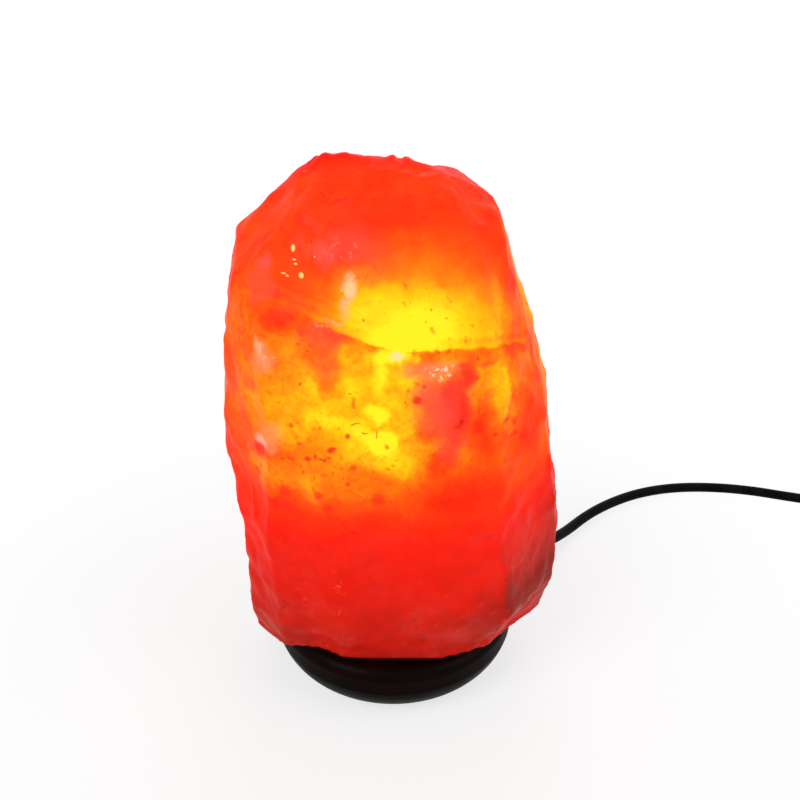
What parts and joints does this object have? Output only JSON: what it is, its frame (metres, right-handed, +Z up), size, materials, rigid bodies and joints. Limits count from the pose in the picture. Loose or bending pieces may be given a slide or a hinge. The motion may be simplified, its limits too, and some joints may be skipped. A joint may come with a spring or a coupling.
{
  "type": "salt crystal lamp",
  "caption": "Table lamp: a rough rock-salt crystal, lit from inside by a candle bulb, stands on a round turned wooden base with a switched lead.",
  "frame": {"origin": "centre of the felt pad's resting face, under the middle of the round base", "axes": "+Z up along the base's axis, -Y towards the front, +X to the right, the lead leaves at the rear right"},
  "size_m": [0.3904, 0.278, 0.2405],
  "materials": {
    "salt": "satin",
    "dark_wood": "gloss",
    "felt": "matte",
    "fibreboard": "matte",
    "black_cord": "satin",
    "black_plastic": "satin",
    "holder_plastic": "satin",
    "porcelain": "gloss",
    "brass": "satin",
    "zinc_steel": "satin",
    "nickel": "gloss",
    "clear_glass": "gloss",
    "black_glass": "gloss",
    "solder": "satin",
    "tungsten": "satin",
    "brown_wire": "satin",
    "blue_wire": "satin"
  },
  "bodies": {
    "base": {"base_cover": "fibreboard", "centre_contact": "brass", "cord_bush": "black_cord", "cord_coil": "black_cord", "cord_lead": "black_cord", "cord_link": "black_cord", "cord_saddle": "zinc_steel", "cord_tail": "black_cord", "cover_screws": "zinc_steel", "felt_pad": "felt", "holder_cap": "holder_plastic", "holder_insert": "porcelain", "holder_sleeve": "holder_plastic", "inner_cord": "black_cord", "live_wire": "brown_wire", "neutral_wire": "blue_wire", "nipple_nuts": "zinc_steel", "nipple_washers": "zinc_steel", "pin_sleeves": "black_plastic", "plug_body": "black_plastic", "plug_pins": "nickel", "saddle_screws": "zinc_steel", "screw_shell": "brass", "side_contact": "brass", "switch_cord_ends": "black_cord", "switch_lower": "black_plastic", "switch_screws": "zinc_steel", "switch_terminals": "brass", "switch_upper": "black_plastic", "switch_wires": "blue_wire", "terminal_screws": "zinc_steel", "threaded_nipple": "zinc_steel", "wood_base": "dark_wood"},
    "crystal": {"salt_crystal": "salt"},
    "bulb": {"bulb_glass": "clear_glass", "bulb_cap": "nickel", "bulb_insulator": "black_glass", "bulb_tip": "solder", "bulb_stem": "clear_glass", "bulb_supports": "nickel", "bulb_filament": "tungsten"},
    "rocker": {"switch_rocker": "black_plastic"}
  },
  "joints": [
    {"name": "crystal_lift", "type": "slide", "parent": "base", "child": "crystal", "axis": [0, 0, 1], "range_m": [0, 0.16]},
    {"name": "bulb_turn", "type": "hinge", "parent": "base", "child": "bulb", "pos_m": [0, 0, 0.05], "axis": [0, 0, 1], "range_deg": [0, 1260]},
    {"name": "switch_rock", "type": "hinge", "parent": "base", "child": "rocker", "pos_m": [0.2956, 0.0543, 0.013], "axis": [0.9816, 0.1908, 0], "range_deg": [-24, 0]}
  ]
}
